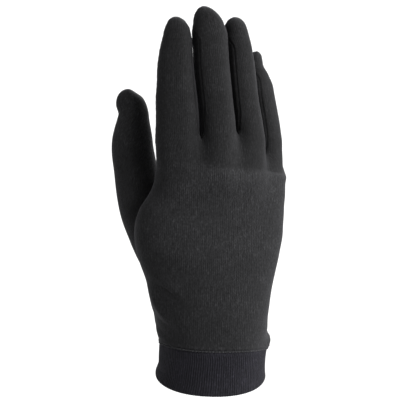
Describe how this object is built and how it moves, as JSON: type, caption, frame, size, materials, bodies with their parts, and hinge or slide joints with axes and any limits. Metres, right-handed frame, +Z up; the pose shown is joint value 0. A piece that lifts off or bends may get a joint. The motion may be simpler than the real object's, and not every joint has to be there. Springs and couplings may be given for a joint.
{
  "type": "glove liner",
  "caption": "Thin knitted full-finger glove liner for the right hand, in its worn shape, with a ribbed wrist band.",
  "frame": {"origin": "middle of the wrist band's mouth, in the plane of its hem", "axes": "+Z up along the hand to the fingertips, -Y out of the back of the hand, -X towards the thumb"},
  "size_m": [0.1117, 0.1034, 0.2279],
  "materials": {
    "knit": "fine matte black jersey knit",
    "rib": "fine black rib knit"
  },
  "bodies": {
    "root": {"back": "knit", "palm": "knit", "fourchette_index_middle": "knit", "fourchette_middle_ring": "knit", "fourchette_ring_little": "knit", "thumb": "knit", "cuff": "rib"}
  },
  "joints": []
}
